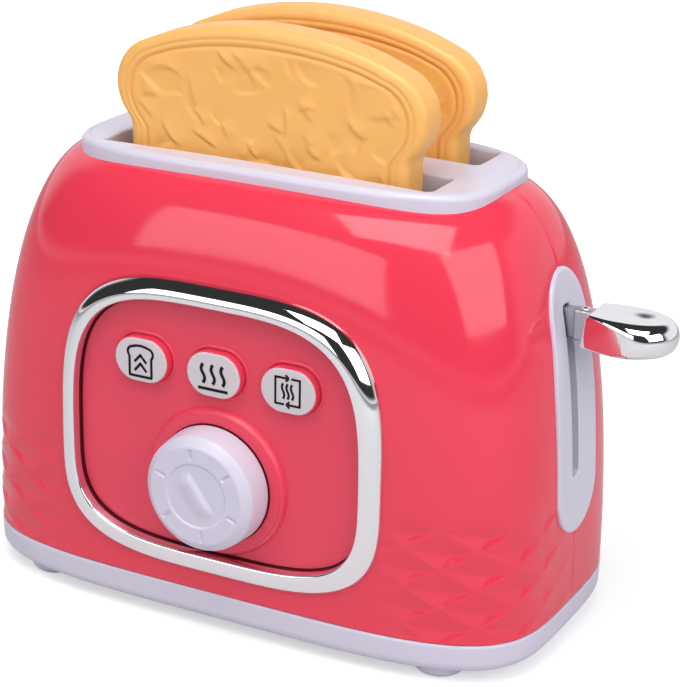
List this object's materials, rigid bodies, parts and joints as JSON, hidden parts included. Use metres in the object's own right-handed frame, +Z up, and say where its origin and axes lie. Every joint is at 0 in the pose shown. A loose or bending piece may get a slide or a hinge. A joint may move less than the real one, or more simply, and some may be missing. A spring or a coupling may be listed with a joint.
{
  "type": "toy pop-up toaster",
  "caption": "Rounded toy toaster with play bread slices on a sprung carriage, side lever, wind-up dial with release latch, and sprung push buttons.",
  "frame": {"origin": "on the floor under the middle of the body", "axes": "+Z up, +X to the lever, -Y out of the control panel"},
  "size_m": [0.2287, 0.1199, 0.1898],
  "materials": {
    "coral_shell": "gloss coral-red moulded plastic",
    "pale_trim": "satin lavender-white moulded plastic",
    "bright_trim": "bright plated plastic",
    "steel": "plain steel",
    "bread": "toast-coloured moulded plastic with crust and crumb relief",
    "inner_grey": "dark grey moulded plastic, inside the body"
  },
  "bodies": {
    "housing": {"front_shell": "coral_shell", "rear_shell": "coral_shell", "base_tray": "pale_trim", "feet": "pale_trim", "top_bezel": "pale_trim", "trim_ring": "bright_trim", "control_panel": "coral_shell", "timer_housing": "inner_grey", "latch_pin": "steel", "latch_spring": "steel", "button_spring_left": "steel", "button_spring_middle": "steel", "button_spring_right": "steel", "button_retainer": "inner_grey", "lever_guide": "pale_trim", "guide_rods": "steel", "lift_spring_left": "steel", "lift_spring_right": "steel", "base_screws": "steel", "shell_screws": "steel", "timer_screws": "steel", "retainer_screws": "steel"},
    "carriage": {"bread_carriage": "inner_grey", "lever_handle": "bright_trim", "lever_screw": "steel"},
    "dial": {"timer_knob": "pale_trim", "dial_shaft": "steel", "release_cam": "inner_grey"},
    "latch": {"latch_lever": "steel"},
    "left_button": {"button_left": "coral_shell", "button_label_left": "pale_trim"},
    "middle_button": {"button_middle": "coral_shell", "button_label_middle": "pale_trim"},
    "right_button": {"button_right": "coral_shell", "button_label_right": "pale_trim"},
    "front_slice": {"bread_slice_front": "bread"},
    "rear_slice": {"bread_slice_rear": "bread"}
  },
  "joints": [
    {"name": "lever_slide", "type": "slide", "parent": "housing", "child": "carriage", "axis": [0, 0, -1], "range_m": [0, 0.045], "stiffness_N_per_m": 60, "springref_m": -0.06, "deforming": ["lift_spring_left", "lift_spring_right"]},
    {"name": "dial_turn", "type": "hinge", "parent": "housing", "child": "dial", "pos_m": [0, -0.06, 0.0525], "axis": [0, 1, 0], "range_deg": [0, 300]},
    {"name": "latch_swing", "type": "hinge", "parent": "housing", "child": "latch", "pos_m": [0.024, -0.035, 0.0705], "axis": [0, 1, 0], "range_deg": [0, 12], "deforming": ["latch_spring"]},
    {"name": "left_button_press", "type": "slide", "parent": "housing", "child": "left_button", "axis": [0, 1, 0], "range_m": [0, 0.0015], "stiffness_N_per_m": 300, "springref_m": -0.002, "deforming": ["button_spring_left"]},
    {"name": "middle_button_press", "type": "slide", "parent": "housing", "child": "middle_button", "axis": [0, 1, 0], "range_m": [0, 0.0015], "stiffness_N_per_m": 300, "springref_m": -0.002, "deforming": ["button_spring_middle"]},
    {"name": "right_button_press", "type": "slide", "parent": "housing", "child": "right_button", "axis": [0, 1, 0], "range_m": [0, 0.0015], "stiffness_N_per_m": 300, "springref_m": -0.002, "deforming": ["button_spring_right"]},
    {"name": "front_slice_lift", "type": "slide", "parent": "carriage", "child": "front_slice", "axis": [0, 0, 1], "range_m": [0, 0.07]},
    {"name": "rear_slice_lift", "type": "slide", "parent": "carriage", "child": "rear_slice", "axis": [0, 0, 1], "range_m": [0, 0.07]}
  ],
  "couplings": [
    {"joint": "latch_swing", "follows": "dial_turn", "ratio": 0.04}
  ]
}
